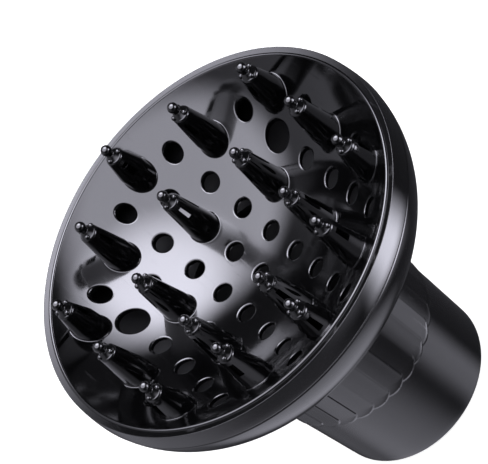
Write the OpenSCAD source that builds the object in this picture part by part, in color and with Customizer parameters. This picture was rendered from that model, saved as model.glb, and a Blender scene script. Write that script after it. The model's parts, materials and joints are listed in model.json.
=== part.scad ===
// Universal hair dryer diffuser: a perforated bowl with hollow prongs on a
// round collar. Six claws in the collar close on the dryer's nozzle when the
// adjusting ring in the mouth is turned.
// Millimetres. Origin at the centre of the collar mouth, +Z along the axis
// towards the bowl's opening.

/* [Bowl] */
// Widest radius of the bowl, at the seam between the dish and the rear shell
bowl_r = 85; // [80:1:92]
// Height of the seam above the collar mouth
seam_z = 127.7; // [120:0.1:135]
// Height of the rim's crest above the seam
rim_rise = 9.4; // [8:0.1:12]
// Radius of the dish's inner edge, where the lip starts
lip_r = 80; // [76:0.5:82]
// Radius of the dish's round hollow
dish_curve_r = 116; // [110:1:130]
// Wall thickness of the dish
dish_wall = 2; // [1.6:0.1:2.4]
// Wall thickness of the rear shell
shell_wall = 2; // [1.6:0.1:2.4]

/* [Air holes] */
// Distance between neighbours in the honeycomb of holes
hole_pitch = 18; // [17:0.1:19]
// Diameter of the air holes
hole_d = 7.6; // [5:0.1:9]
// Diameter of the three large air holes
big_hole_d = 12; // [8:0.1:12.4]

/* [Prongs] */
// Radius of the circle through the nearer six of the outer prongs
near_ring_r = 60; // [58:0.1:62]
// Radius of the circle through the farther six of the outer prongs
far_ring_r = 68.2; // [67:0.1:70]
// Radius of a prong where it leaves the dish
prong_base_r = 6.3; // [5:0.1:6.6]
// Radius of a prong at its shoulder
prong_top_r = 4.1; // [4:0.1:4.6]
// Height of the inner prongs' tips above the collar mouth
inner_tip_z = 140.8; // [138:0.1:144]
// Height of the outer prongs' tips above the collar mouth
outer_tip_z = 151; // [148:0.1:153]
// Wall thickness of a prong
prong_wall = 1.4; // [1.2:0.1:1.8]
// Radius of the round nub on the tip of a prong
nub_r = 2.3; // [2:0.1:2.6]
// Radius of the three small nubs on a prong's shoulder
small_nub_r = 1.15; // [0.9:0.05:1.3]
// Length of the vent slots in a prong
slot_len = 7.3; // [5:0.1:7.5]
// Length of the inner prongs' vent slots on the side towards the rim
rim_slot_len = 16.4; // [7:0.1:16.6]
// Width of the vent slots in a prong
slot_w = 2.2; // [1.2:0.1:2.6]

/* [Collar] */
// Outer radius of the collar at its mouth
mouth_r = 37.3; // [37:0.1:39]
// Outer radius of the collar where it meets the rear shell
neck_r = 41.6; // [41:0.1:43]
// Height of the crease between the collar and the rear shell
neck_z = 88; // [84:0.5:90]
// Wall thickness of the collar's tapered part
collar_wall = 2.4; // [2:0.1:2.8]
// Inner radius of the collar around the clamp
clamp_bore_r = 35.2; // [35.2:0.1:35.4]

/* [Clamp] */
// Radius of the rubber pads' inner faces when the clamp is open
grip_r = 29.2; // [28.8:0.1:29.3]
// Turn of the adjusting ring from open to closed, in degrees
ring_turn = 30; // [20:1:32]
// Turn of each claw from open to closed, in degrees
claw_turn = 20; // [12:1:21]
// Radius of the circle of claw pivots
pivot_circle_r = 32.5; // [32.3:0.1:32.6]
// Diameter of the steel pivot pins
pin_d = 2.4; // [2:0.1:2.5]

/* [Hidden] */

$fn = 64;
over = 1; // how far a cutter runs past the face it cuts
plastic = [0.05, 0.05, 0.055];
dark_plastic = [0.11, 0.11, 0.12];
rubber_grey = [0.2, 0.2, 0.21];
steel = [0.75, 0.76, 0.78];

claws = 6;
claw_step = 360 / claws;

// The dish: a round hollow whose lowest point is dish_z
rim_z = seam_z + rim_rise;
lip_z = rim_z - 0.5;
dish_centre_z = lip_z + sqrt(dish_curve_r^2 - lip_r^2);
dish_z = dish_centre_z - dish_curve_r;
function dish_height(r) = dish_centre_z - sqrt(dish_curve_r^2 - r^2);
drill_from = 10; // how far below the dish's lowest point a drill starts
drill_h = 60;
trim_from = 30; // the same for the body that trims the prongs' feet
trim_h = 80;

// The skirt that covers the seam
skirt_wall = 1.8;
skirt_r = bowl_r - 0.3;
skirt_curve_r = 60; // the skirt bulges a little
corner_drop = 0.4; // from the rim's crest to the top of the skirt
skirt_lean = asin((rim_rise - corner_drop) / skirt_curve_r);

// The rim: a bead on its inner edge, a flat that dips behind it, a crisp corner
bead_r = 0.7;
flat_from = [1.6, -0.6]; // from the lip's radius and the crest
corner_r = 0.3;

// The honeycomb of holes
row_x = hole_pitch * sin(60);
inner_ring_r = 2 * hole_pitch;
big_site_r = 3 * hole_pitch;
prong_angles_in = [for (i = [0 : 5]) 30 + 60 * i];
prong_angles_near = [for (i = [0 : 5]) 60 * i];
big_hole_angles = [90, 210, 330];
plain_hole_max_r = 66;
function lattice(i, j) = [i * row_x, (j + 0.5 * (abs(i) % 2)) * hole_pitch];
function is_prong_site(r) = abs(r - inner_ring_r) < 0.5 || abs(r - 2 * sqrt(3) * hole_pitch) < 0.5;
function is_big_site(p) = min([for (a = big_hole_angles) norm(p - big_site_r * [cos(a), sin(a)])]) < 1;

// The prongs' tops: heights are measured down from the tip
shoulder_drop = 8.2;
shoulder_r = 1.6;
stem_drop = 4.9;
stem_r = 1.9;
small_nub_drop = 5.1;
small_nub_at = 2.9; // from the prong's axis
small_nub_angles = [0, 120, 240];
slot_drop = 9.9;

// The rear shell's back: one large round, then a fillet into the neck
back_r = 34.8;
back_centre = [bowl_r - back_r - 0.2, seam_z + 3.8];
back_end_angle = 282;
fillet_r = 6;
lap_h = 3; // height of the spigot that locates the dish's skirt
lap_gap = 0.1;
lap_room = 0.5; // free height above that spigot
under_margin = 0.9; // how far the dish's underside runs out past lip_r
neck_lap_h = 7;

// The clamp, stacked upwards from the mouth
end_ring_h = 1.8;
end_ring_in_r = 33;
cam_z = 2.2;
cam_h = 4;
finger_z = 0.6;
cam_in_r = grip_r + 0.4;
cam_out_r = clamp_bore_r - 0.3;
finger_out_r = end_ring_in_r - 0.4;
claw_z = 6.6;
claw_h = 13.6;
carrier_z = 20.6;
carrier_h = 3.4;
flange_h = 2.5;
flange_in_r = 27.5;
flange_z = carrier_z + carrier_h;
running_gap = 0.05;
eye_r = 2.3;
arm_in_r = grip_r + 2.3;
arm_out_r = arm_in_r + 2.6;
arm_angle = 46;
pad_start = 21;
pad_z = claw_z + 0.8;
pad_h = claw_h - 1.6;
peg_r = 0.9;
peg_reach = 4;
peg_lift = 0.4; // how far a peg stays above the cam ring's lower face
pin_lift = 0.2; // the same for a pin above the claw's lower face
notches = 24;
notch_r = 1.4;
slot_r = peg_r + 0.25;
screw_circle_r = 32.2;
screw_shift = 30;
screw_d = 2.2;
screw_hole_d = 2.6;
screw_head_d = 4.2;
screw_head_h = 1.6;
screw_cross_w = 0.6;
screw_in = 0.4; // how far a screw stays short of the carrier's lower face

// A sector of a ring from angle a0 to a1
module ring_sector(r0, r1, h, a0, a1) {
    rotate([0, 0, a0])
        rotate_extrude(angle = a1 - a0)
            translate([r0, 0])
                square([r1 - r0, h]);
}

module tube(r0, r1, h) {
    difference() {
        cylinder(r = r1, h = h);
        translate([0, 0, -over])
            cylinder(r = r0, h = h + 2 * over);
    }
}

function arc(c, r, a0, a1, n) =
    [for (i = [0 : n]) c + r * [cos(a0 + (a1 - a0) * i / n), sin(a0 + (a1 - a0) * i / n)]];

// ---------------------------------------------------------------- dish

// Outline of the dish, the rolled lip and the skirt
module dish_outline() {
    skirt_c = [skirt_r - skirt_curve_r, seam_z];
    corner_c = skirt_c + (skirt_curve_r - corner_r) * [cos(skirt_lean), sin(skirt_lean)];
    bead_c = [lip_r + bead_r, rim_z - bead_r];
    edge_a = asin(lip_r / dish_curve_r);
    under_r = dish_curve_r + dish_wall;
    under_a = asin((lip_r + under_margin) / under_r);
    skirt_in_r = skirt_r - skirt_wall;
    hollow = arc([0, dish_centre_z], dish_curve_r, 270, 270 + edge_a, 40);
    bead = arc(bead_c, bead_r, 155, 20, 8);
    flat = concat([[lip_r, rim_z] + flat_from], arc(corner_c, corner_r, 100, skirt_lean, 5));
    skirt = arc(skirt_c, skirt_curve_r, skirt_lean * 0.9, 0, 8);
    under = arc([0, dish_centre_z], under_r, 270 + under_a, 270, 40);
    inside = [[skirt_in_r, seam_z], [skirt_in_r, seam_z + lap_h + lap_room]];
    polygon(concat(hollow, bead, flat, skirt, inside, under));
}

module drill(r) {
    translate([0, 0, dish_z - drill_from])
        cylinder(r = r, h = drill_h);
}

module air_holes() {
    for (i = [-4 : 4])
        for (j = [-4 : 4]) {
            p = lattice(i, j);
            if (norm(p) < plain_hole_max_r && !is_prong_site(norm(p)) && !is_big_site(p))
                translate([p.x, p.y, 0])
                    drill(hole_d / 2);
        }
    for (a = big_hole_angles)
        rotate([0, 0, a])
            translate([big_site_r, 0, 0])
                drill(big_hole_d / 2);
}

// Where air enters each hollow prong from behind the dish
module prong_feeds() {
    for (a = prong_angles_in, r = [inner_ring_r, far_ring_r])
        rotate([0, 0, a])
            translate([r, 0, 0])
                drill(prong_base_r - prong_wall);
    for (a = prong_angles_near)
        rotate([0, 0, a])
            translate([near_ring_r, 0, 0])
                drill(prong_base_r - prong_wall);
}

module front_dish() {
    color(plastic)
        difference() {
            rotate_extrude($fn = 180)
                dish_outline();
            air_holes();
            prong_feeds();
        }
}

// -------------------------------------------------------------- prongs

// A hollow prong whose foot is trimmed to the dish: r is where it stands.
// One vent slot faces the bowl's axis, the other (back_slot long) the rim
module prong(r, tip_z, back_slot) {
    foot_z = dish_height(r - prong_base_r) - 1;
    shoulder_z = tip_z - shoulder_drop;
    slot_top_z = tip_z - slot_drop;
    difference() {
        union() {
            rotate_extrude()
                polygon(concat(
                    [[0, foot_z], [prong_base_r, foot_z]],
                    arc([prong_top_r - shoulder_r, shoulder_z], shoulder_r, 3, 60, 6),
                    [[stem_r, tip_z - stem_drop], [stem_r, tip_z - nub_r], [0, tip_z - nub_r]]
                ));
            translate([0, 0, tip_z - nub_r])
                sphere(r = nub_r, $fn = 32);
            for (a = small_nub_angles)
                rotate([0, 0, a])
                    translate([small_nub_at, 0, tip_z - small_nub_drop - small_nub_r])
                        sphere(r = small_nub_r, $fn = 24);
        }
        translate([0, 0, foot_z - over])
            cylinder(r1 = prong_base_r - prong_wall, r2 = prong_top_r - prong_wall,
                h = shoulder_z - foot_z + over);
        translate([-bowl_r, -slot_w / 2, slot_top_z - slot_len])
            cube([bowl_r, slot_w, slot_len]);
        translate([0, -slot_w / 2, slot_top_z - back_slot])
            cube([bowl_r, slot_w, back_slot]);
        translate([-r, 0, 0])
            dish_body();
    }
}

// Everything below the dish's hollow surface, for trimming the prongs' feet
module dish_body() {
    difference() {
        translate([0, 0, dish_z - trim_from])
            cylinder(r = bowl_r, h = trim_h);
        translate([0, 0, dish_centre_z])
            sphere(r = dish_curve_r, $fn = 180);
    }
}

module inner_prongs() {
    color(plastic)
        for (a = prong_angles_in)
            rotate([0, 0, a])
                translate([inner_ring_r, 0, 0])
                    prong(inner_ring_r, inner_tip_z, rim_slot_len);
}

module outer_prongs() {
    color(plastic) {
        for (a = prong_angles_near)
            rotate([0, 0, a])
                translate([near_ring_r, 0, 0])
                    prong(near_ring_r, outer_tip_z, slot_len);
        for (a = prong_angles_in)
            rotate([0, 0, a])
                translate([far_ring_r, 0, 0])
                    prong(far_ring_r, outer_tip_z, slot_len);
    }
}

// ---------------------------------------------------------- rear shell

module shell_outline() {
    in_r = back_r - shell_wall;
    seam_a = asin((seam_z - back_centre.y) / back_r);
    lap_a = asin((seam_z - back_centre.y) / in_r);
    back = arc(back_centre, back_r, seam_a, back_end_angle - 360, 32);
    back_in = arc(back_centre, in_r, back_end_angle - 360, lap_a, 32);
    inner_end = back_in[0];
    fillet_c = [neck_r + fillet_r, neck_z];
    lap_r = skirt_r - skirt_wall - lap_gap;
    polygon(concat(
        [[lap_r, seam_z]],
        back,
        arc(fillet_c, fillet_r, 105, 180, 10),
        [[neck_r - collar_wall, neck_z], [neck_r - collar_wall, inner_end.y]],
        back_in,
        [[lap_r - shell_wall, seam_z], [lap_r - shell_wall, seam_z + lap_h], [lap_r, seam_z + lap_h]]
    ));
}

module rear_shell() {
    color(plastic)
        rotate_extrude($fn = 180)
            shell_outline();
}

// -------------------------------------------------------------- collar

module collar_outline() {
    edge_r = 1;
    spigot_wall = 1.8;
    step = [0.4, 6]; // a shallow step inside the neck, below the spigot
    spigot_r = neck_r - collar_wall - lap_gap;
    in_low_r = mouth_r + (neck_r - mouth_r) * (flange_z + flange_h) / neck_z - collar_wall;
    polygon(concat(
        [[clamp_bore_r, 0]],
        arc([mouth_r - edge_r, edge_r], edge_r, 270, 360, 6),
        [
            [neck_r, neck_z], [spigot_r, neck_z], [spigot_r, neck_z + neck_lap_h],
            [spigot_r - spigot_wall, neck_z + neck_lap_h], [spigot_r - spigot_wall, neck_z],
            [neck_r - collar_wall - step.x, neck_z - step.y],
            [in_low_r, flange_z + flange_h], [flange_in_r, flange_z + flange_h],
            [flange_in_r, flange_z], [clamp_bore_r, flange_z]
        ]
    ));
}

module at_screws() {
    for (i = [0 : 5])
        rotate([0, 0, screw_shift + claw_step * i])
            translate([screw_circle_r, 0, 0])
                children();
}

module at_pivots() {
    for (i = [0 : claws - 1])
        rotate([0, 0, claw_step * i])
            translate([pivot_circle_r, 0, 0])
                children();
}

module nozzle_collar() {
    color(plastic)
        difference() {
            rotate_extrude($fn = 128)
                collar_outline();
            at_screws()
                translate([0, 0, flange_z - over])
                    cylinder(d = screw_hole_d, h = flange_h + 2 * over);
        }
}

// --------------------------------------------------------------- clamp

module mouth_ring() {
    color(dark_plastic)
        tube(end_ring_in_r, clamp_bore_r, end_ring_h);
}

module claw_carrier() {
    color(dark_plastic)
        difference() {
            translate([0, 0, carrier_z])
                tube(flange_in_r, clamp_bore_r - 0.1, carrier_h);
            at_pivots()
                translate([0, 0, carrier_z - over])
                    cylinder(d = pin_d, h = carrier_h + 2 * over);
            at_screws()
                translate([0, 0, carrier_z - over])
                    cylinder(d = screw_d, h = carrier_h + 2 * over);
        }
}

module carrier_screws() {
    color(steel)
        at_screws()
            translate([0, 0, carrier_z + screw_in]) {
                cylinder(d = screw_d, h = carrier_h + flange_h - screw_in);
                translate([0, 0, carrier_h + flange_h - screw_in])
                    difference() {
                        cylinder(d = screw_head_d, h = screw_head_h);
                        for (a = [0, 90])
                            rotate([0, 0, a])
                                translate([-screw_head_d / 3, -screw_cross_w / 2, screw_head_h / 2])
                                    cube([screw_head_d / 1.5, screw_cross_w, screw_head_h]);
                    }
            }
}

module pivot_pins() {
    color(steel)
        at_pivots()
            translate([0, 0, claw_z + pin_lift])
                cylinder(d = pin_d, h = carrier_z + carrier_h - claw_z - pin_lift);
}

// The peg's place in the collar when the claw has turned by b
peg_angle = 2 * asin(peg_reach / 2 / pivot_circle_r);
peg_rest = (pivot_circle_r + 0.5) * [cos(peg_angle), sin(peg_angle)];
function turn(p, a) = [p.x * cos(a) - p.y * sin(a), p.x * sin(a) + p.y * cos(a)];
function peg_at(b) = [pivot_circle_r, 0] + turn(peg_rest - [pivot_circle_r, 0], b);

// The same peg seen from the adjusting ring, when the ring has turned by f
function peg_in_ring(f) = turn(peg_at(f * claw_turn / ring_turn), -f);

// A cam slot: the peg's path, widened to both sides
module cam_slot() {
    steps = 16;
    path = [for (i = [0 : steps]) peg_in_ring(ring_turn * i / steps)];
    side = [for (i = [0 : steps])
        let (d = path[min(i + 1, steps)] - path[max(i - 1, 0)])
        slot_r * [-d.y, d.x] / norm(d)];
    linear_extrude(cam_h + 2 * over)
        polygon(concat(
            [for (i = [0 : steps]) path[i] + side[i]],
            [for (i = [steps : -1 : 0]) path[i] - side[i]]
        ));
    for (p = [path[0], path[steps]])
        translate([p.x, p.y, 0])
            cylinder(r = slot_r, h = cam_h + 2 * over);
}

module adjusting_ring() {
    color(dark_plastic)
        difference() {
            union() {
                translate([0, 0, cam_z])
                    tube(cam_in_r, cam_out_r, cam_h);
                translate([0, 0, finger_z])
                    tube(cam_in_r, finger_out_r, cam_z - finger_z + 0.5);
            }
            for (i = [0 : claws - 1])
                rotate([0, 0, claw_step * i])
                    translate([0, 0, cam_z - over])
                        cam_slot();
            for (i = [0 : notches - 1])
                rotate([0, 0, 360 / notches * i])
                    translate([cam_in_r, 0, finger_z - over])
                        cylinder(r = notch_r, h = cam_z - finger_z + over - peg_lift, $fn = 24);
        }
}

module claw() {
    difference() {
        union() {
            translate([0, 0, claw_z])
                ring_sector(arm_in_r, arm_out_r, claw_h, 0, arm_angle);
            translate([pivot_circle_r, 0, claw_z])
                cylinder(r = eye_r, h = claw_h);
            translate([peg_rest.x, peg_rest.y, cam_z + peg_lift])
                cylinder(r = peg_r, h = claw_z - cam_z);
        }
        translate([pivot_circle_r, 0, claw_z - over])
            cylinder(d = pin_d + 2 * running_gap, h = claw_h + 2 * over);
    }
}

module grip_pad() {
    rib = 0.5;
    ribs = 7;
    difference() {
        translate([0, 0, pad_z])
            ring_sector(grip_r, arm_in_r, pad_h, pad_start, arm_angle);
        for (i = [1 : ribs])
            rotate([0, 0, pad_start + (arm_angle - pad_start) * i / (ribs + 1)])
                translate([grip_r, 0, pad_z - over])
                    cylinder(r = rib, h = pad_h + 2 * over, $fn = 16);
    }
}

module claw_n(n) {
    color(dark_plastic)
        rotate([0, 0, claw_step * (n - 1)])
            claw();
}

module grip_pad_n(n) {
    color(rubber_grey)
        rotate([0, 0, claw_step * (n - 1)])
            grip_pad();
}

front_dish();
inner_prongs();
outer_prongs();
rear_shell();
nozzle_collar();
mouth_ring();
claw_carrier();
carrier_screws();
pivot_pins();
adjusting_ring();
claw_n(1);  // claw_1
claw_n(2);  // claw_2
claw_n(3);  // claw_3
claw_n(4);  // claw_4
claw_n(5);  // claw_5
claw_n(6);  // claw_6
grip_pad_n(1);  // grip_pad_1
grip_pad_n(2);  // grip_pad_2
grip_pad_n(3);  // grip_pad_3
grip_pad_n(4);  // grip_pad_4
grip_pad_n(5);  // grip_pad_5
grip_pad_n(6);  // grip_pad_6
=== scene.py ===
"""Looks of the hair dryer diffuser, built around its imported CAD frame."""

import json
import math

import bpy
from mathutils import Matrix, Vector
from mathutils.geometry import delaunay_2d_cdt


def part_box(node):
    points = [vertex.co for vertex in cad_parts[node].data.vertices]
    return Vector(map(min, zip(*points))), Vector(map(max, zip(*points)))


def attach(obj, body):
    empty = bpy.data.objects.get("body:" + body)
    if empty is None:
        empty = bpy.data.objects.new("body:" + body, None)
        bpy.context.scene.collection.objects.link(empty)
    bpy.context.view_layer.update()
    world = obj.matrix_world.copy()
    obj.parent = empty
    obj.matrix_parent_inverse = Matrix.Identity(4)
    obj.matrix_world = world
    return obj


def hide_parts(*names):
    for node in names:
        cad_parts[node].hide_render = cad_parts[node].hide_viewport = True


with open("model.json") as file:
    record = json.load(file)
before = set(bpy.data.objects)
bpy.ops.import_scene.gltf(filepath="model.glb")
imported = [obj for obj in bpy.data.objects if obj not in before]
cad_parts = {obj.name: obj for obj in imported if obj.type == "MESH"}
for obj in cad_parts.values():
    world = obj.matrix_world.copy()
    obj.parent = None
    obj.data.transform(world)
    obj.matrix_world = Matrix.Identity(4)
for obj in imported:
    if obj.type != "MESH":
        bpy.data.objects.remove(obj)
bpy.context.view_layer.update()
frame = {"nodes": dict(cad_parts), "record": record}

MM = 0.001
TAU = 2 * math.pi


def top_of(node):
    """Height of a CAD node's highest point, in mm."""
    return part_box(node)[1].z / MM


# ---------------------------------------------------------------- sizes, mm

# Columns round the dish and the shell
fine_turn = 288

# The dish: a round hollow, a bead on its edge, a flat, a crisp corner and a skirt
dish_curve_r = 116
lip_r = 80
dish_wall = 2
skirt_r = 84.7
skirt_wall = 1.8
skirt_curve_r = 60
corner_drop = 0.4
corner_r = 0.14
bead_r = 0.8
flat_out = 1.6
flat_dip = 0.6
skirt_edge_r = 0.49
skirt_edge_in = 0.5
skirt_edge_up = 0.52
under_margin = 0.9
rim_z = top_of("front_dish")
lap_h = 3
lap_room = 0.5
seam_z = top_of("rear_shell") - lap_h
lip_drop = 0.5
lip_z = rim_z - lip_drop
dish_centre_z = lip_z + math.sqrt(dish_curve_r**2 - lip_r**2)

# The honeycomb of air holes
hole_pitch = 18
hole_r = 3.8
hole_round = 0.8
big_hole_r = 6
big_hole_round = 0.6
big_hole_angles = (90, 210, 330)
plain_hole_max_r = 66
prong_hole_round = 0.3

# The dish's mesh: distances from the rim and the holes, and between the points elsewhere
rim_steps = (1.0, 2.2)
hole_steps = (0.6, 1.4)
sheet_pitch = 1.7
rim_clear = 3
hole_clear = 2.2

# The prongs
inner_ring_r = 2 * hole_pitch
near_ring_r = 60
far_ring_r = 68.2
prong_base_r = 6.3
prong_top_r = 4.1
prong_wall = 1.4
foot_round = 0.8
foot_sink = 0.04
foot_gap = 0.1
shoulder_drop = 8.2
shoulder_r = 1.6
stem_drop = 4.9
stem_r = 1.9
stem_fillet_r = 0.5
stem_fillet_up = 0.45
nub_r = 2.3
small_nub_r = 1.15
small_nub_drop = 5.1
small_nub_at = 2.9
small_nub_angles = (0, 120, 240)
slot_w = 2.2
slot_at_r = 4.7
slot_row = 0.4
slot_len = 7.3
rim_slot_len = 16.4
slot_drop = 9.9

# The rear shell and the collar
neck_r = 41.6
neck_z = 88
mouth_r = 37.3
mouth_round = 1
shell_wall = 2
back_r = 34.8
back_centre = (skirt_r + 0.1 - back_r, seam_z + 3.8)
back_end = 282
seam_edge_drop = 0.6
fillet_r = 6
collar_wall = 2.4
clamp_bore_r = 35.2
flange_low = 24
flange_top = 26.5
flange_r = 27.5
spigot_h = 7
spigot_wall = 1.8


def dish_height(x, y):
    """Height of the hollow's surface above the point (x, y)."""
    return dish_centre_z - math.sqrt(dish_curve_r**2 - x * x - y * y)


def polar(r, a):
    """The point at radius r and angle a, in degrees."""
    return (r * math.cos(math.radians(a)), r * math.sin(math.radians(a)))


def arc(centre, r, a0, a1, n):
    """n + 1 points on an arc, as (radius, height) pairs; angles in degrees."""
    points = []
    for i in range(n + 1):
        x, y = polar(r, a0 + (a1 - a0) * i / n)
        points.append((centre[0] + x, centre[1] + y))
    return points


# ------------------------------------------------------------ mesh helpers


def make_object(name, builder, sharp=35):
    """A smooth-shaded object from a builder's points in mm; edges over sharp degrees stay crisp."""
    mesh = bpy.data.meshes.new(name)
    mesh.from_pydata([Vector(v) * MM for v in builder.verts], [], builder.faces)
    mesh.materials.append(None)
    mesh.materials.append(None)
    mesh.polygons.foreach_set("material_index", builder.slots)
    mesh.shade_smooth()
    mesh.set_sharp_from_angle(angle=math.radians(sharp))
    obj = bpy.data.objects.new(name, mesh)
    bpy.context.scene.collection.objects.link(obj)
    return obj


class Builder:
    """Collects the points and faces of one piece; slot 0 is the outside, 1 the inside."""

    def __init__(self):
        self.verts = []
        self.faces = []
        self.slots = []

    def add(self, verts, faces, slot=0):
        base = len(self.verts)
        self.verts.extend(verts)
        self.faces.extend([tuple(i + base for i in f) for f in faces])
        self.slots.extend([slot] * len(faces))
        return base

    def loft(self, loops, flip=False, slot=0):
        """Joins equal closed loops of points with quads."""
        n = len(loops[0])
        faces = []
        for k in range(len(loops) - 1):
            for i in range(n):
                j = (i + 1) % n
                quad = (k * n + i, k * n + j, (k + 1) * n + j, (k + 1) * n + i)
                faces.append(quad[::-1] if flip else quad)
        return self.add([p for loop in loops for p in loop], faces, slot)

    def lathe(self, profile, segments, slot=0):
        """Turns a (radius, height) profile round the axis."""
        n = len(profile)
        verts = [(*polar(r, 360 * i / segments), z) for i in range(segments) for r, z in profile]
        faces = []
        for k in range(segments):
            m = (k + 1) % segments
            faces += [(k * n + i, m * n + i, m * n + i + 1, k * n + i + 1) for i in range(n - 1)]
        return self.add(verts, faces, slot)


# ------------------------------------------------------------------- dish


def hole_outlines():
    """Every opening in the dish: (x, y, radius, edge rounding)."""
    holes = []
    row = hole_pitch * math.sin(math.radians(60))
    big_sites = [polar(3 * hole_pitch, a) for a in big_hole_angles]
    prong_rings = (inner_ring_r, 2 * math.sqrt(3) * hole_pitch)
    for i in range(-4, 5):
        for j in range(-4, 5):
            p = (i * row, (j + 0.5 * (abs(i) % 2)) * hole_pitch)
            r = math.hypot(*p)
            at_prong = any(abs(r - q) < 0.5 for q in prong_rings)
            at_big = any(math.dist(p, q) < 1 for q in big_sites)
            if r < plain_hole_max_r and not at_prong and not at_big:
                holes.append((*p, hole_r, hole_round))
    holes += [(*p, big_hole_r, big_hole_round) for p in big_sites]
    for x, y, _, _ in prong_sites():
        holes.append((x, y, prong_base_r - prong_wall, prong_hole_round))
    return holes


def prong_sites():
    """(x, y, angle, ring) of every prong."""
    sites = []
    for k in range(6):
        a, b = 60 * k, 30 + 60 * k
        sites.append((*polar(inner_ring_r, b), b, "inner"))
        sites.append((*polar(near_ring_r, a), a, "outer"))
        sites.append((*polar(far_ring_r, b), b, "outer"))
    return sites


def circle(hole, grow, n=48):
    """The hole's outline, grown by grow."""
    x, y, r, _ = hole
    points = []
    for i in range(n):
        u, v = polar(r + grow, 360 * (i + 0.5) / n)
        points.append((x + u, y + v))
    return points


def dish_sheet(holes):
    """A flat triangulation of the dish with its holes left open: points and triangles."""
    points, edges = [], []

    def ring(loop):
        base = len(points)
        points.extend(loop)
        edges.extend((base + i, base + (i + 1) % len(loop)) for i in range(len(loop)))

    ring([polar(lip_r, 360 * i / fine_turn) for i in range(fine_turn)])
    for k, step in enumerate(rim_steps):
        points.extend(polar(lip_r - step, 360 * (i + 0.5 * (k + 1)) / fine_turn)
                      for i in range(fine_turn))
    for hole in holes:
        ring(circle(hole, hole[3]))
        for grow in hole_steps:
            points.extend(circle(hole, hole[3] + grow))
    row_h = sheet_pitch * 0.866
    rows = int(lip_r / row_h) + 1
    for j in range(-rows, rows + 1):
        for i in range(-rows - 10, rows + 11):
            p = ((i + 0.5 * (j % 2)) * sheet_pitch, j * sheet_pitch * 0.866)
            if math.hypot(*p) > lip_r - rim_clear:
                continue
            if any(math.dist(p, h[:2]) < h[2] + h[3] + hole_clear for h in holes):
                continue
            points.append(p)
    out = delaunay_2d_cdt([Vector(p) for p in points], edges, [], 0, 1e-5)
    verts, tris = [tuple(v) for v in out[0]], []
    for f in out[2]:
        cx = sum(verts[i][0] for i in f) / len(f)
        cy = sum(verts[i][1] for i in f) / len(f)
        if not any(inside(h, cx, cy) for h in holes):
            tris.append(tuple(f))
    return verts, tris


def inside(hole, x, y):
    """True if the point lies in the hole's opening, its rounding included."""
    return math.dist((x, y), hole[:2]) < hole[2] + hole[3] - 0.02


def build_dish():
    """The perforated dish with rounded hole edges, the rim and the skirt."""
    holes = hole_outlines()
    flat, tris = dish_sheet(holes)
    b = Builder()
    b.add([(x, y, dish_height(x, y)) for x, y in flat], tris)
    b.add([(x, y, under_height(x, y)) for x, y in flat], [t[::-1] for t in tris], 1)
    for hole in holes:
        add_hole_wall(b, hole)
    inner_r = skirt_r - skirt_wall
    edge_r = lip_r + under_margin
    b.lathe(rim_outline() + [(inner_r, seam_z)], fine_turn)
    b.lathe([(inner_r, seam_z), (inner_r, seam_z + lap_h + lap_room), (edge_r, under_height(edge_r, 0)),
             (lip_r, under_height(lip_r, 0))], fine_turn, 1)
    return make_object("dish_skin", b)


def add_hole_wall(b, hole):
    """The wall of one opening: a round at the top, a small break at the underside."""
    edge = hole[3]
    loops = []
    for k in range(7):
        phi = math.radians(90 * k / 6)
        loop = circle(hole, edge * (1 - math.sin(phi)))
        drop = edge * (1 - math.cos(phi))
        loops.append([(x, y, dish_height(x, y) - drop) for x, y in loop])
    for grow, lift in ((0, 0.25), (0.08, 0.07), (edge, 0)):
        loops.append([(x, y, under_height(x, y) + lift) for x, y in circle(hole, grow)])
    b.loft(loops, flip=True)


def rim_outline():
    """From the hollow's edge over the bead, the dipping flat and the corner, down the skirt."""
    lean = math.degrees(math.asin((rim_z - corner_drop - seam_z) / skirt_curve_r))
    low = math.degrees(math.asin(skirt_edge_up / skirt_curve_r))
    skirt_centre = (skirt_r - skirt_curve_r, seam_z)
    out, up = polar(skirt_curve_r - corner_r, lean)
    corner = arc((skirt_centre[0] + out, skirt_centre[1] + up), corner_r, 102, lean, 8)
    valley = (lip_r + flat_out, rim_z - flat_dip)
    points = [(lip_r, lip_z)]
    points += arc((lip_r + bead_r, rim_z - bead_r), bead_r, 155, 12, 16)
    points += [valley]
    points += [tuple(v + (c - v) * t for v, c in zip(valley, corner[0])) for t in (0.1, 0.5, 0.9)]
    points += corner
    points += arc(skirt_centre, skirt_curve_r, lean * 0.97, low, 24)
    points += arc((skirt_r - skirt_edge_in, seam_z + skirt_edge_up), skirt_edge_r, 0, -90, 5)
    return points


def under_height(x, y):
    """Height of the dish's underside above the point (x, y)."""
    r = dish_curve_r + dish_wall
    return dish_centre_z - math.sqrt(r * r - x * x - y * y)


# ----------------------------------------------------------------- prongs


def prong_top(tip_z):
    """Outline of a prong's top, from its shoulder to the crest of the nub."""
    shoulder_z = tip_z - shoulder_drop
    points = arc((prong_top_r - shoulder_r, shoulder_z), shoulder_r, 0, 62, 7)
    fillet_centre = (stem_r + stem_fillet_r, tip_z - stem_drop + stem_fillet_up)
    points += arc(fillet_centre, stem_fillet_r, 240, 180, 4)
    points += arc((0, tip_z - nub_r), nub_r, -34, 86, 16)
    return points


def build_prongs(name, ring, tip_z):
    """One ring of hollow prongs with vent slots and small nubs, feet blended into the dish."""
    b = Builder()
    for x, y, turn, which in prong_sites():
        if which == ring:
            back_slot = rim_slot_len if ring == "inner" else slot_len
            add_prong(b, x, y, turn, tip_z, back_slot)
    return make_object(name, b, sharp=50)


def prong_columns():
    """Angles round a prong, in degrees, with columns on the vent slots' sides."""
    side = math.degrees(math.asin(slot_w / 2 / slot_at_r))
    columns = []
    for start in (0, 180):
        columns += [start - side, start - side / 3, start + side / 3, start + side]
        for k in range(1, 18):
            columns.append(start + side + (180 - 2 * side) * k / 18)
    return columns


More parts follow.
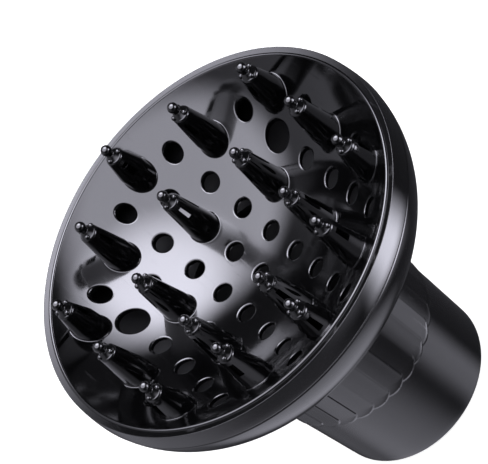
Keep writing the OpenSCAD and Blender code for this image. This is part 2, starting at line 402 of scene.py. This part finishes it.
def prong_outline(foot_z, tip_z, slot_ends):
    """(radius, height) pairs up a prong's tapered wall, with rows at its slots' ends, and its top."""
    top_z = tip_z - shoulder_drop
    rows = {foot_z + (top_z - foot_z) * k / 20 for k in range(20)}
    rows |= {z for z in slot_ends if z > foot_z}
    points = []
    for z in sorted(rows):
        t = (z - foot_z) / (top_z - foot_z)
        points.append((prong_base_r + (prong_top_r - prong_base_r) * t, z))
    return points + prong_top(tip_z)


def foot_loops(place, columns, foot_z):
    """The round from the dish into a prong's wall, then rows that level out towards foot_z."""
    loops = []
    for k in range(7):
        phi = math.radians(90 * k / 6)
        loop = []
        for a in columns:
            x, y = place(prong_base_r + foot_gap + foot_round * (1 - math.sin(phi)), a)
            loop.append((x, y, dish_height(x, y) + foot_round * (1 - math.cos(phi)) - foot_sink))
        loops.append(loop)
    for k in (1, 2, 3):
        loop = []
        for a in columns:
            x, y = place(prong_base_r + foot_gap - foot_gap / 4 * k, a)
            start = dish_height(x, y) + foot_round - foot_sink
            loop.append((x, y, start + (foot_z - start) * k / 4))
        loops.append(loop)
    return loops


def add_prong(b, px, py, turn, tip_z, back_slot):
    """Adds one prong at (px, py), turned so that its slots lie on the radius."""
    columns = prong_columns()
    n = len(columns)
    per_side = n // 2
    slot_top = tip_z - slot_drop
    lows = (slot_top - back_slot, slot_top - slot_len)
    slot_ends = (slot_top, slot_top - slot_row, *lows, *(z + slot_row for z in lows))
    foot_z = dish_height(math.hypot(px, py) + prong_base_r, 0) + foot_round + foot_gap
    c, s = polar(1, turn)

    def place(r, a):
        x, y = polar(r, a)
        return px + x * c - y * s, py + x * s + y * c

    loops = foot_loops(place, columns, foot_z)
    first_wall = len(loops)
    for r, z in prong_outline(foot_z, tip_z, slot_ends):
        loops.append([(*place(r, a), z) for a in columns])
    faces, cut = [], set()
    for k in range(len(loops) - 1):
        for i in range(n):
            j = (i + 1) % n
            mid = (loops[k][i][2] + loops[k + 1][i][2]) / 2
            low = lows[i // per_side]
            if i % per_side < 3 and low < mid < slot_top and k >= first_wall:
                cut.add((k, i))
            else:
                faces.append((k * n + i, k * n + j, (k + 1) * n + j, (k + 1) * n + i))
    base = b.add([p for loop in loops for p in loop], faces)
    tip = b.add([(px, py, tip_z)], [])
    last = base + (len(loops) - 1) * n
    b.faces.extend((last + i, last + (i + 1) % n, tip) for i in range(n))
    b.slots.extend([0] * n)
    add_slot_walls(b, loops, cut, place, n)
    for a in small_nub_angles:
        x, y = place(small_nub_at, a)
        add_ball(b, x, y, tip_z - small_nub_drop - small_nub_r, small_nub_r)


def add_slot_walls(b, loops, cut, place, n):
    """The thickness of a prong's wall round its slots, and the wall's inner face beyond them."""
    centre = place(0, 0)

    def inward(p):
        dx, dy = p[0] - centre[0], p[1] - centre[1]
        d = math.hypot(dx, dy)
        k = (d - prong_wall) / d
        return (centre[0] + dx * k, centre[1] + dy * k, p[2])

    for k, i in sorted(cut):
        j = (i + 1) % n
        corners = (loops[k][i], loops[k][j], loops[k + 1][j], loops[k + 1][i])
        around = ((k - 1, i), (k, j), (k + 1, i), (k, (i - 1) % n))
        for e, other in enumerate(around):
            if other not in cut:
                p, q = corners[e], corners[(e + 1) % 4]
                b.add([p, q, inward(q), inward(p)], [(0, 1, 2, 3)])
    lows = [k for k, _ in cut]
    if not lows:
        return
    k0, k1 = min(lows) - 1, max(lows) + 2
    inner = [[inward(p) for p in loops[k]] for k in range(k0, k1 + 1)]
    verts = [p for loop in inner for p in loop]
    faces = []
    for k in range(len(inner) - 1):
        for i in range(n):
            if (k + k0, i) not in cut:
                j = (i + 1) % n
                faces.append((k * n + i, (k + 1) * n + i, (k + 1) * n + j, k * n + j))
    b.add(verts, faces, 1)


def add_ball(b, x, y, z, r):
    """A small ball, for the nubs that are half sunk in a prong's shoulder."""
    sides, rings = 20, 12
    loops = []
    for k in range(1, rings):
        ring_r, up = polar(r, 180 * k / rings - 90)
        loops.append([(x + ring_r * math.cos(TAU * i / sides), y + ring_r * math.sin(TAU * i / sides), z + up)
                      for i in range(sides)])
    base = b.loft(loops)
    low = b.add([(x, y, z - r)], [])
    high = b.add([(x, y, z + r)], [])
    last = base + (len(loops) - 1) * sides
    for i in range(sides):
        j = (i + 1) % sides
        b.faces += [(base + j, base + i, low), (last + i, last + j, high)]
        b.slots += [0, 0]


# ------------------------------------------------------- shell and collar


def build_shell():
    """The rear shell: a rounded seam edge, one large round and a fillet into the neck."""
    in_r = back_r - shell_wall
    seam_a = math.degrees(math.asin((seam_z - seam_edge_drop - back_centre[1]) / back_r))
    edge = polar(back_r, seam_a)
    edge = (back_centre[0] + edge[0], back_centre[1] + edge[1])
    lap_r = skirt_r - skirt_wall - 0.1
    outer = [(lap_r, seam_z), (edge[0] - 1.2, seam_z), (edge[0] - 0.85, seam_z - 0.02)]
    outer += [(edge[0] - 0.45, seam_z - 0.12), (edge[0] - 0.14, seam_z - 0.3)]
    outer += arc(back_centre, back_r, seam_a, back_end - 360, 64)
    outer += arc((neck_r + fillet_r, neck_z), fillet_r, 105, 176, 12)
    outer += [(neck_r - 0.3, neck_z), (neck_r - collar_wall, neck_z)]
    inner = arc(back_centre, in_r, back_end - 360, seam_a, 40)
    inner = [(neck_r - collar_wall, neck_z), (neck_r - collar_wall, inner[0][1])] + inner
    lap_in = lap_r - shell_wall
    inner += [(lap_in, seam_z), (lap_in, seam_z + lap_h), (lap_r, seam_z + lap_h), (lap_r, seam_z)]
    b = Builder()
    b.lathe(outer[::-1], fine_turn)
    b.lathe(inner[::-1], fine_turn, 1)
    return make_object("rear_shell_skin", b)


# The petals in relief round the collar's upper end
petals = 30
petal_w = 6.6
petal_end_z = 42.2
petal_step = 0.7
petal_edge = 0.5
petal_cup = 2
petal_r = 39.5
petal_fade = 9


def petal_height(a, z):
    """Height of the overlapping petals above the collar at angle a (degrees) and height z."""
    best = 0.0
    step = 360 / petals
    first = int(a // step) - 2
    for k in range(first, first + 6):
        s = math.radians(a - k * step) * petal_r
        if abs(s) >= petal_w:
            continue
        end = petal_end_z + petal_w - math.sqrt(petal_w**2 - s * s)
        from_edge = min(z - end, petal_w - abs(s))
        if from_edge <= 0:
            continue
        depth = min(from_edge / petal_edge, 1)
        depth = depth * depth * (3 - 2 * depth)
        cup = 0.5 + 0.5 * math.exp(-from_edge / petal_cup)
        tilt = 0.6 + 0.4 * s / petal_w
        best = max(best, petal_step * tilt * cup * depth)
    return best


def build_collar():
    """The collar: a tapered tube with a rounded mouth, petals in relief and a spigot."""
    segments = 720

    def outer_r(z):
        return mouth_r + (neck_r - mouth_r) * z / neck_z

    # Close rows where the petals are, wide ones where the tube is plain
    fine = [petal_end_z - 0.6 + 0.45 * i for i in range(66)]
    heights = [4, 10, 20, 30, 38] + [z for z in fine if z < 72] + [74, 78, 82, 86, neck_z]
    low = arc((mouth_r - mouth_round, mouth_round), mouth_round, 270, 360, 6)
    spigot_r = neck_r - collar_wall - 0.1
    spigot_in = spigot_r - spigot_wall
    inner = [(spigot_r, neck_z), (spigot_r, neck_z + spigot_h), (spigot_in, neck_z + spigot_h)]
    inner += [(spigot_in, neck_z), (neck_r - collar_wall - 0.4, neck_z - 6)]
    inner += [(outer_r(flange_top) - collar_wall, flange_top), (flange_r, flange_top)]
    inner += [(flange_r, flange_low), (clamp_bore_r, flange_low), (clamp_bore_r, 0)]
    loops = []
    for r, z in low:
        loops.append([(*polar(r, 360 * i / segments), z) for i in range(segments)])
    for z in heights:
        loop = []
        base_r = outer_r(z)
        for i in range(segments):
            a = 360 * i / segments
            relief = petal_height(a, z) if z > petal_end_z - 1 else 0
            relief *= min(1, max(0, (neck_z - z) / petal_fade))
            loop.append((*polar(base_r + relief, a), z))
        loops.append(loop)
    b = Builder()
    b.loft(loops)
    b.lathe(([(neck_r, neck_z)] + inner + [low[0]])[::-1], 240, 1)
    return make_object("collar_skin", b, sharp=40)


# -------------------------------------------------------------- materials


class Nodes:
    """A small helper that adds and links the nodes of one material."""

    def __init__(self, name):
        self.material = bpy.data.materials.new(name)
        self.material.use_nodes = True
        self.tree = self.material.node_tree
        self.shader = self.tree.nodes["Principled BSDF"]
        self.coords = self.add("ShaderNodeTexCoord").outputs["Object"]

    def add(self, kind, **values):
        node = self.tree.nodes.new(kind)
        for key, value in values.items():
            if key in node.inputs:
                node.inputs[key].default_value = value
            else:
                setattr(node, key, value)
        return node

    def link(self, out, socket):
        self.tree.links.new(out, socket)

    def noise(self, scale, detail=3.0, rough=0.5, stretch=None):
        node = self.add("ShaderNodeTexNoise", Scale=scale, Detail=detail, Roughness=rough)
        if stretch:
            mapping = self.add("ShaderNodeMapping")
            mapping.inputs["Scale"].default_value = stretch
            self.link(self.coords, mapping.inputs["Vector"])
            self.link(mapping.outputs["Vector"], node.inputs["Vector"])
        else:
            self.link(self.coords, node.inputs["Vector"])
        return node.outputs["Fac"]

    def remap(self, value, lo, hi, out_lo, out_hi):
        node = self.add("ShaderNodeMapRange")
        node.inputs["From Min"].default_value = lo
        node.inputs["From Max"].default_value = hi
        node.inputs["To Min"].default_value = out_lo
        node.inputs["To Max"].default_value = out_hi
        self.link(value, node.inputs["Value"])
        return node.outputs["Result"]

    def math(self, operation, a, b):
        node = self.add("ShaderNodeMath", operation=operation)
        for i, v in enumerate((a, b)):
            if isinstance(v, (int, float)):
                node.inputs[i].default_value = v
            else:
                self.link(v, node.inputs[i])
        return node.outputs[0]

    def colour(self, fac, dark, light):
        node = self.add("ShaderNodeMix", data_type="RGBA")
        node.inputs[6].default_value = (*dark, 1)
        node.inputs[7].default_value = (*light, 1)
        self.link(fac, node.inputs[0])
        self.link(node.outputs[2], self.shader.inputs["Base Color"])

    def roughness(self, value):
        self.link(value, self.shader.inputs["Roughness"])

    def bump(self, height, strength, distance):
        node = self.add("ShaderNodeBump", Strength=strength, Distance=distance)
        self.link(height, node.inputs["Height"])
        self.link(node.outputs["Normal"], self.shader.inputs["Normal"])


def gloss_black():
    """Polished injection-moulded black plastic: faint ripple, smears and hairline scratches."""
    m = Nodes("gloss_black")
    m.shader.inputs["IOR"].default_value = 1.52
    smears = m.remap(m.noise(38, 4, 0.6), 0.42, 0.66, 0, 1)
    scratch = m.remap(m.noise(900, 2, 0.5, stretch=(1, 0.06, 0.06)), 0.66, 0.72, 0, 1)
    cloud = m.noise(14, 2)
    m.colour(cloud, (0.0035, 0.0035, 0.004), (0.006, 0.006, 0.007))
    base = m.math("ADD", m.math("MULTIPLY", smears, 0.035), 0.085)
    m.roughness(m.math("ADD", base, m.math("MULTIPLY", scratch, 0.12)))
    ripple = m.noise(120, 2, 0.4)
    m.bump(ripple, 0.03, 0.0004)
    return m.material


def unpolished_black():
    """The same plastic on the faces that nobody sees: eroded tool finish, flow marks."""
    m = Nodes("unpolished_black")
    m.shader.inputs["Specular IOR Level"].default_value = 0.18
    m.colour(m.noise(30, 3), (0.005, 0.005, 0.0055), (0.011, 0.011, 0.012))
    m.roughness(m.remap(m.noise(70, 4, 0.6), 0.35, 0.7, 0.5, 0.68))
    m.bump(m.noise(1400, 2, 0.5), 0.2, 0.00015)
    return m.material


def satin_black():
    """Spark-textured black nylon for the clamp's moving parts."""
    m = Nodes("satin_black")
    grain = m.noise(2600, 2, 0.6)
    m.colour(m.noise(60, 3), (0.014, 0.014, 0.015), (0.026, 0.026, 0.028))
    wear = m.remap(m.noise(90, 5, 0.7), 0.35, 0.7, 0.34, 0.5)
    m.roughness(wear)
    m.bump(grain, 0.35, 0.00012)
    return m.material


def grip_rubber():
    """Matt, slightly dusty rubber."""
    m = Nodes("grip_rubber")
    dust = m.remap(m.noise(240, 5, 0.7), 0.45, 0.75, 0, 1)
    m.colour(dust, (0.022, 0.022, 0.023), (0.05, 0.05, 0.052))
    m.roughness(m.remap(m.noise(500, 3), 0.3, 0.7, 0.62, 0.82))
    m.bump(m.noise(3000, 2), 0.3, 0.0001)
    return m.material


def brushed_steel():
    """Turned steel with fine rings."""
    m = Nodes("steel")
    m.shader.inputs["Metallic"].default_value = 1.0
    m.colour(m.noise(400, 3), (0.5, 0.51, 0.53), (0.66, 0.67, 0.69))
    m.roughness(m.remap(m.noise(1500, 2, 0.5, stretch=(0.1, 0.1, 6)), 0.3, 0.7, 0.2, 0.36))
    m.bump(m.noise(2500, 2, 0.5, stretch=(0.1, 0.1, 4)), 0.15, 0.0001)
    return m.material


def paint(obj, material, inside=None):
    """Gives an object its material; inside, if given, fills its second slot."""
    if inside is None:
        obj.data.materials.clear()
        obj.data.materials.append(material)
    else:
        obj.data.materials[0] = material
        obj.data.materials[1] = inside


def pale_floor():
    """A nearly white floor that glows a little, so that the picture's ground is plain white."""
    m = Nodes("pale_floor")
    m.colour(m.noise(3, 2), (0.86, 0.86, 0.865), (0.88, 0.88, 0.885))
    m.shader.inputs["Roughness"].default_value = 0.7
    m.shader.inputs["Specular IOR Level"].default_value = 0.2
    m.shader.inputs["Emission Color"].default_value = (1, 1, 1, 1)
    m.shader.inputs["Emission Strength"].default_value = 0.9
    return m.material


# ----------------------------------------------------------------- pieces

BLACK = gloss_black()
SATIN = satin_black()
RAW = unpolished_black()
RUBBER = grip_rubber()
STEEL = brushed_steel()


def stand_for(piece, node):
    """Puts a finer piece in the place of a CAD node of polished black plastic."""
    paint(piece, BLACK, RAW)
    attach(piece, "diffuser")
    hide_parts(node)


stand_for(build_dish(), "front_dish")
stand_for(build_prongs("inner_prongs_skin", "inner", top_of("inner_prongs")), "inner_prongs")
stand_for(build_prongs("outer_prongs_skin", "outer", top_of("outer_prongs")), "outer_prongs")
stand_for(build_shell(), "rear_shell")
stand_for(build_collar(), "nozzle_collar")


def soften(obj, width):
    """A small round on a CAD node's edges, so that they catch the light."""
    bevel = obj.modifiers.new("edge_round", "BEVEL")
    bevel.width = width * MM
    bevel.segments = 2
    bevel.limit_method = "ANGLE"
    bevel.angle_limit = math.radians(50)


edge_bevel = 0.18
by_slot = {"satin_black": SATIN, "grip_rubber": RUBBER, "steel": STEEL, "gloss_black": BLACK}
slots = {row["node"]: row["material_slot"] for row in frame["record"]["subparts"]}
for name, obj in frame["nodes"].items():
    paint(obj, by_slot[slots[name]])
    if slots[name] == "satin_black":
        soften(obj, edge_bevel)

# --------------------------------------------------------- floor and light

floor_mesh = bpy.data.meshes.new("floor")
half = 4
floor_mesh.from_pydata([(-half, -half, 0), (half, -half, 0), (half, half, 0), (-half, half, 0)],
                       [], [(0, 1, 2, 3)])
floor = bpy.data.objects.new("floor", floor_mesh)
bpy.context.scene.collection.objects.link(floor)
paint(floor, pale_floor())
floor.visible_glossy = False


def heading(azimuth, elevation):
    """A direction from its azimuth (0 is -Y, towards +X) and elevation, in degrees."""
    flat, up = polar(1, elevation)
    across, along = polar(flat, azimuth)
    return (along, -across, up)


# The dome's dim light where no disc or strip is
DOME_FLOOR = 0.06
# Soft discs of light: (direction, edge, core, power), edge and core in degrees
PANELS = (
    (heading(0, 90), 51, 35, 6.5),
    (heading(-58, 63), 33, 5, 12.0),
    (heading(70, 5), 70, 30, 0.6),
    (heading(120, -72), 34, 12, 1.1),
    (heading(130, -45), 50, 20, 0.25),
)
# Tall soft strips: (azimuth, edge, core, lowest, highest, softness, power), in degrees
STRIPS = (
    (-129, 26, 3, -44, 18, 5, 12.5),
    (-152, 42, 10, -30, 4, 12, 1.6),
    (-124, 24, 4, -62, -46, 6, 1.2),
)


def studio_dome():
    """A studio that shows in reflections only: soft discs and strips of light in the dark."""
    world = bpy.data.worlds.new("studio")
    world.use_nodes = True
    tree = world.node_tree
    add, link = tree.nodes.new, tree.links.new
    look = add("ShaderNodeTexCoord").outputs["Generated"]

    def towards(direction, edge, core):
        """1 within core degrees of a direction, falling softly to 0 at edge degrees."""
        dot = add("ShaderNodeVectorMath")
        dot.operation = "DOT_PRODUCT"
        dot.inputs[1].default_value = Vector(direction).normalized()
        link(look, dot.inputs[0])
        fade = add("ShaderNodeMapRange")
        fade.interpolation_type = "SMOOTHSTEP"
        fade.inputs["From Min"].default_value = math.cos(math.radians(edge))
        fade.inputs["From Max"].default_value = math.cos(math.radians(core))
        link(dot.outputs["Value"], fade.inputs["Value"])
        return fade.outputs["Result"]

    def ramp(value, lo, hi):
        """0 at sin(lo) to 1 at sin(hi), in degrees; lo may be the larger one."""
        fade = add("ShaderNodeMapRange")
        fade.interpolation_type = "SMOOTHSTEP"
        fade.inputs["From Min"].default_value = math.sin(math.radians(lo))
        fade.inputs["From Max"].default_value = math.sin(math.radians(hi))
        link(value, fade.inputs["Value"])
        return fade.outputs["Result"]

    def along(direction):
        """How far the line of sight points along a direction, from -1 to 1."""
        dot = add("ShaderNodeVectorMath")
        dot.operation = "DOT_PRODUCT"
        dot.inputs[1].default_value = direction
        link(look, dot.inputs[0])
        return dot.outputs["Value"]

    def times(a, b):
        """The product of two sockets."""
        node = add("ShaderNodeMath")
        node.operation = "MULTIPLY"
        link(a, node.inputs[0])
        link(b, node.inputs[1])
        return node.outputs[0]

    def strip(azimuth, edge, core, low, high, soft):
        """A tall soft strip at an azimuth, between two elevations."""
        off = add("ShaderNodeMath")
        off.operation = "ABSOLUTE"
        link(along(heading(azimuth + 90, 0)), off.inputs[0])
        shape = ramp(off.outputs[0], edge, core)
        shape = times(shape, ramp(along(heading(azimuth, 0)), 0, 12))
        height = along((0, 0, 1))
        shape = times(shape, ramp(height, low - soft, low + soft))
        return times(shape, ramp(height, high + soft, high - soft))

    total = None
    shapes = [(towards(*panel[:3]), panel[3]) for panel in PANELS]
    shapes += [(strip(*row[:6]), row[6]) for row in STRIPS]
    for shape, power in shapes:
        part = add("ShaderNodeMath")
        part.operation = "MULTIPLY_ADD"
        part.inputs[1].default_value = power
        part.inputs[2].default_value = DOME_FLOOR
        link(shape, part.inputs[0])
        if total is not None:
            link(total, part.inputs[2])
        total = part.outputs[0]
    shade = tree.nodes["Background"]
    shade.inputs["Color"].default_value = (0.88, 0.875, 1.0, 1)
    link(total, shade.inputs["Strength"])
    bpy.context.scene.world = world
    world.cycles_visibility.diffuse = False


studio_dome()
bpy.context.scene.view_settings.view_transform = "Standard"


def floor_lamp(name, place, size, power):
    """A rectangular area light that lights the floor and isn't seen in reflections; in metres."""
    lamp = bpy.data.lights.new(name, "AREA")
    lamp.shape = "RECTANGLE"
    lamp.size, lamp.size_y = size
    lamp.energy = power
    obj = bpy.data.objects.new(name, lamp)
    obj.location = place
    direction = Vector(floor_spot) - Vector(place)
    obj.rotation_mode = "QUATERNION"
    obj.rotation_quaternion = direction.to_track_quat("-Z", "Y")
    obj.visible_glossy = False
    bpy.context.scene.collection.objects.link(obj)


floor_spot = (0, -0.14, 0)
floor_lamp("floor_wash", (0, -0.7, 1.6), (1.2, 1.0), 8)
floor_lamp("floor_left", (1.2, -0.3, 1.0), (0.8, 0.8), 4)
floor_lamp("floor_right", (-1.2, 0.1, 1.0), (0.8, 0.8), 5)

# ----------------------------------------------------------------- camera

cam_aim = Vector((-9.1, 1.0, 126.3)) * MM
cam_distance = 1.198
cam_azimuth = 182.0
cam_elevation = 43.19
cam_roll = -53.5
camera_data = bpy.data.cameras.new("camera")
camera_data.sensor_width = 36
camera_data.lens = 226.8
camera = bpy.data.objects.new("camera", camera_data)
bpy.context.scene.collection.objects.link(camera)
bpy.context.scene.camera = camera
az, el = math.radians(cam_azimuth), math.radians(cam_elevation)
back = Vector((math.sin(az) * math.cos(el), -math.cos(az) * math.cos(el), math.sin(el)))
camera.rotation_mode = "QUATERNION"
level = (-back).to_track_quat("-Z", "Y")
roll = Matrix.Rotation(math.radians(cam_roll), 4, "Z").to_quaternion()
camera.rotation_quaternion = level @ roll
camera.location = cam_aim + back * cam_distance
